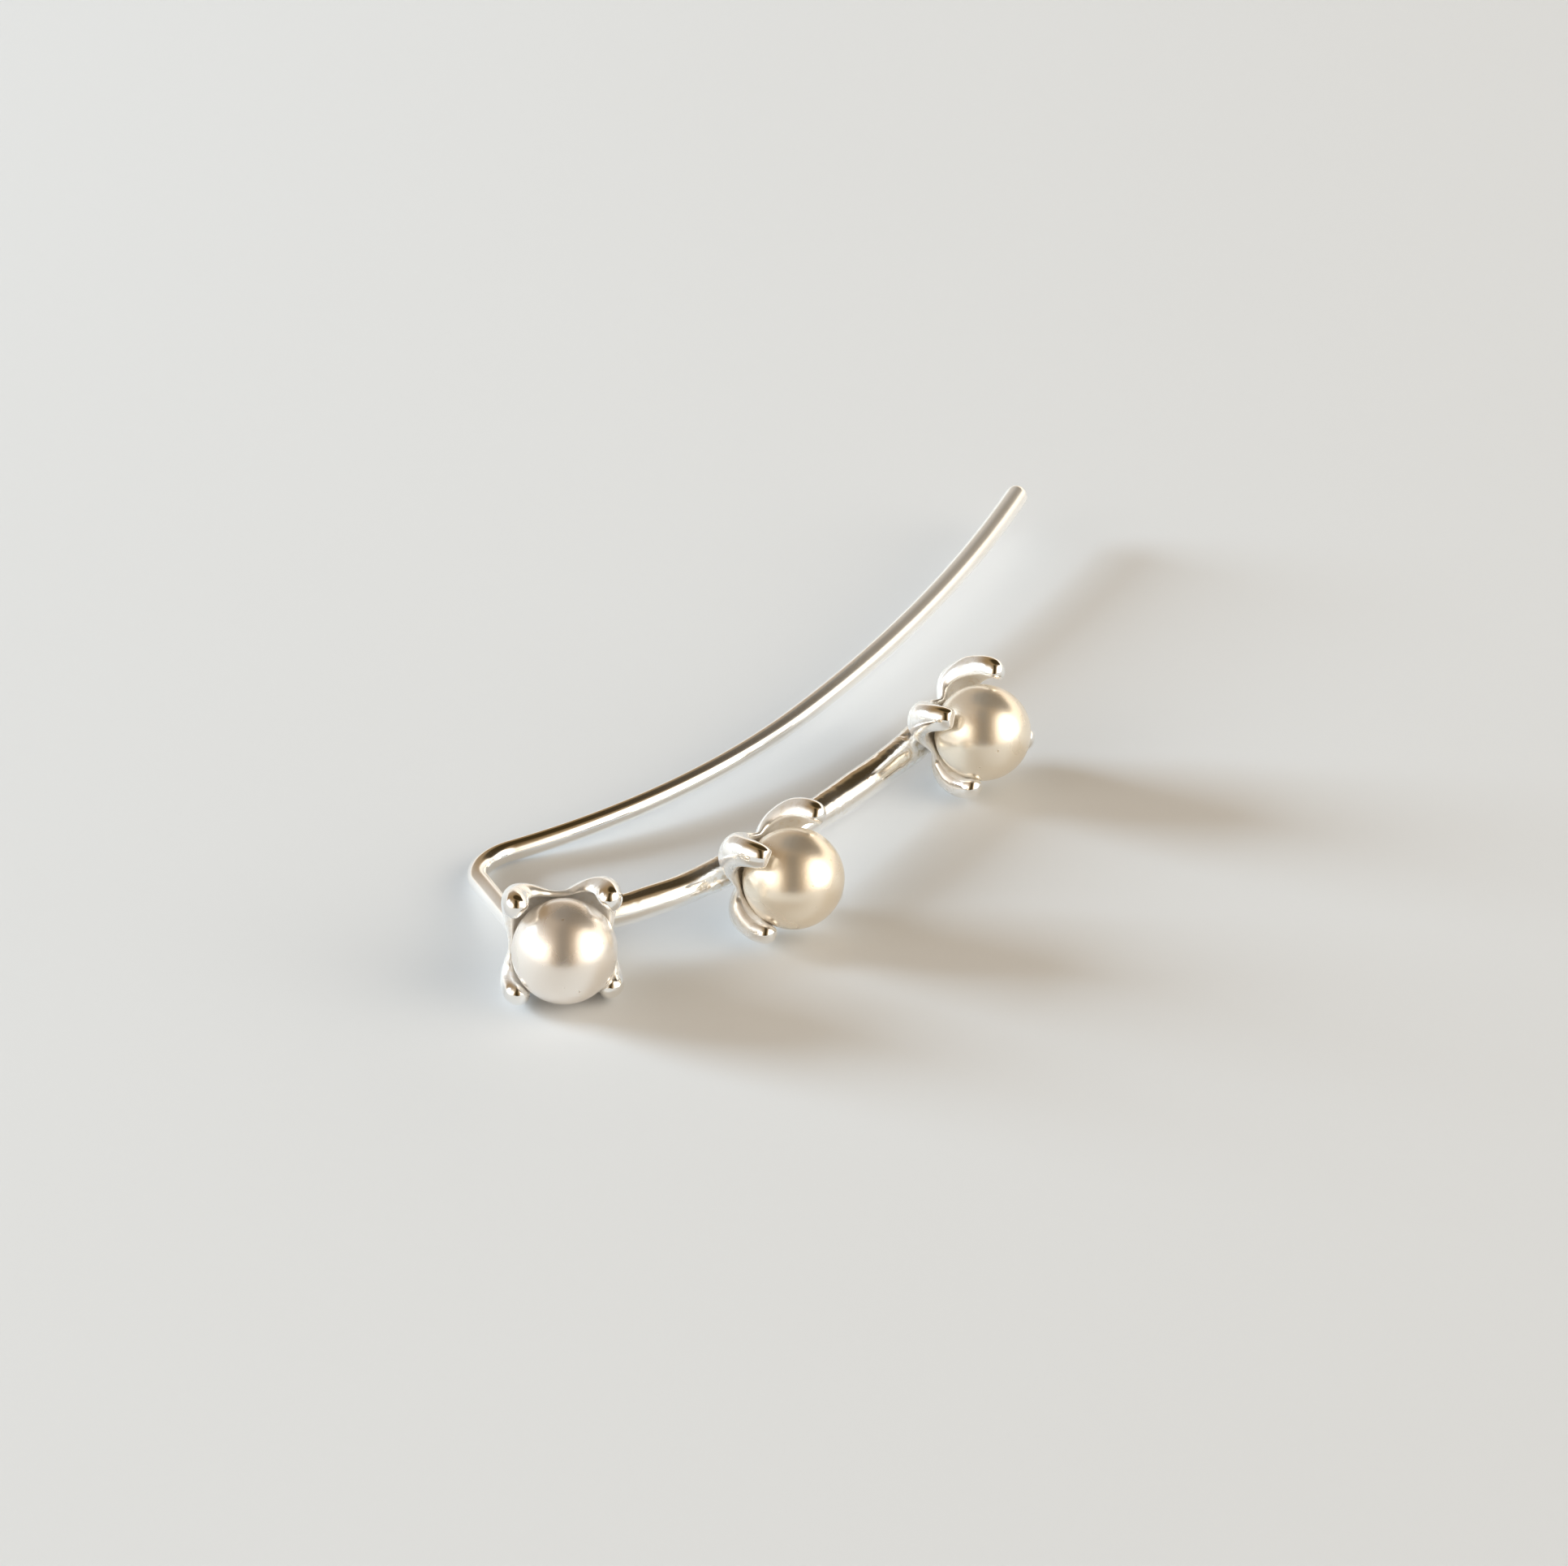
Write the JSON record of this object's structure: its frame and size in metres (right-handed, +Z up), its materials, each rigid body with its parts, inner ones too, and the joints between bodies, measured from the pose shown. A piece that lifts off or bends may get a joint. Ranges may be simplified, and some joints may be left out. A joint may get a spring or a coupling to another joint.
{
  "type": "ear climber",
  "caption": "Ear climber: pearls in four-claw cups along a curved silver bar, with a long curved hook wire behind it.",
  "frame": {"origin": "middle of its outline on the surface that it lies on, below its lowest points", "axes": "+Z up as it lies; +X from the first pearl's side to the third's; +Y from the pearls to the end of the hook wire"},
  "size_m": [0.0198, 0.0328, 0.0046],
  "materials": {
    "silver": "polished, with a few cast pits",
    "pearl": "satin nacre, warm white"
  },
  "bodies": {
    "root": {"climber_frame": "silver", "pearl_1": "pearl", "pearl_2": "pearl", "pearl_3": "pearl"}
  },
  "joints": []
}
